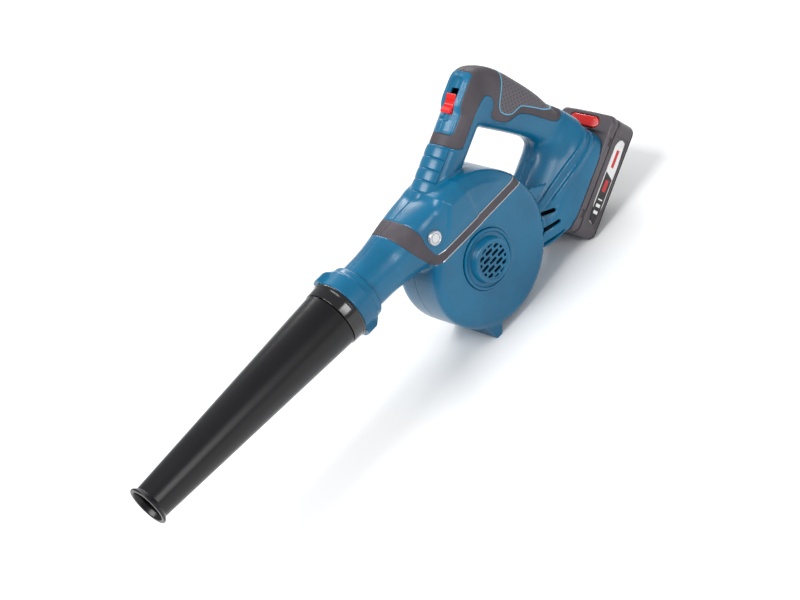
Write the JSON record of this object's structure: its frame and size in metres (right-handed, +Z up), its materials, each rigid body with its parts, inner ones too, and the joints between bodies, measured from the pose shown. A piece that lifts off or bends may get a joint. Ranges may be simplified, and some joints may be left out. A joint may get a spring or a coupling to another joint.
{
  "type": "leaf blower",
  "caption": "Handheld cordless leaf blower with a round fan housing, long tapered nozzle, looped grip and slide-on battery pack.",
  "frame": {"origin": "middle of the base of the whole tool, on the level surface that it stands on", "axes": "+X from the nozzle to the back, -Y the side with the raised motor vent, +Z up; the fan turns about Y"},
  "size_m": [0.61, 0.086, 0.2252],
  "materials": {
    "housing": "satin moulded",
    "soft_cover": "soft matt",
    "badge": "smooth",
    "nozzle": "satin moulded",
    "red_plastic": "smooth",
    "inner_plastic": "moulded",
    "pack_shell": "fine texture",
    "brass": "turned",
    "steel": "machined",
    "copper": "copper, turned",
    "magnet": "sintered ferrite",
    "heat_sink": "extruded",
    "circuit_board": "solder mask",
    "red_insulation": "smooth",
    "black_insulation": "smooth",
    "cell": "steel can in a shrink sleeve"
  },
  "bodies": {
    "housing": {"housing_left": "housing", "housing_right": "housing", "outlet_collar": "housing", "switch_bezel": "housing", "motor_vent_cap": "housing", "grip_cover_left": "soft_cover", "grip_cover_right": "soft_cover", "trim_band_left": "soft_cover", "trim_band_right": "soft_cover", "blank_badge": "badge", "intake_grille": "nozzle", "switch_module": "inner_plastic", "motor_end_bell": "inner_plastic", "motor_mount": "inner_plastic", "battery_dock": "inner_plastic", "terminal_positive": "brass", "terminal_negative": "brass", "terminal_signal": "brass", "bearing_rear": "steel", "bearing_front": "steel", "motor_can": "steel", "magnet_front": "magnet", "magnet_rear": "magnet", "heat_sink": "heat_sink", "control_board": "circuit_board", "battery_lead_positive": "red_insulation", "battery_lead_negative": "black_insulation", "switch_lead_positive": "red_insulation", "switch_lead_negative": "black_insulation", "screw_1": "steel", "screw_2": "steel", "screw_3": "steel", "screw_4": "steel", "screw_5": "steel", "screw_6": "steel"},
    "nozzle": {"nozzle_tube": "nozzle", "nozzle_ring": "nozzle"},
    "fan": {"fan_impeller": "inner_plastic", "fan_shroud": "inner_plastic", "fan_nut": "brass", "motor_shaft": "steel", "rotor_core": "steel", "commutator": "copper"},
    "switch": {"switch_slider": "red_plastic", "switch_link": "inner_plastic"},
    "battery": {"battery_tray": "pack_shell", "battery_lid": "pack_shell", "cell_1": "cell", "cell_2": "cell", "cell_3": "cell", "cell_4": "cell", "cell_5": "cell", "cell_cradle": "inner_plastic", "battery_board": "circuit_board", "pack_label_left": "badge", "pack_label_right": "badge"},
    "release": {"release_button": "red_plastic"},
    "gauge": {"gauge_button": "red_plastic"}
  },
  "joints": [
    {"name": "nozzle_twist", "type": "hinge", "parent": "housing", "child": "nozzle", "pos_m": [-0.05, 0, 0.13426], "axis": [1, 0, 0], "range_deg": [0, 25]},
    {"name": "fan_spin", "type": "hinge", "parent": "housing", "child": "fan", "pos_m": [0.09, 0, 0.07826], "axis": [0, 1, 0], "continuous": true},
    {"name": "switch_slide", "type": "slide", "parent": "housing", "child": "switch", "axis": [0.8704, 0, 0.4924], "range_m": [0, 0.008]},
    {"name": "battery_slide", "type": "slide", "parent": "housing", "child": "battery", "axis": [0.8704, 0, 0.4924], "range_m": [0, 0.08]},
    {"name": "release_press", "type": "slide", "parent": "battery", "child": "release", "axis": [0.4924, 0, -0.8704], "range_m": [0, 0.003], "stiffness_N_per_m": 500, "springref_m": -0.001},
    {"name": "gauge_press", "type": "slide", "parent": "battery", "child": "gauge", "axis": [0.8704, 0, 0.4924], "range_m": [0, 0.001], "stiffness_N_per_m": 800, "springref_m": -0.0005}
  ]
}
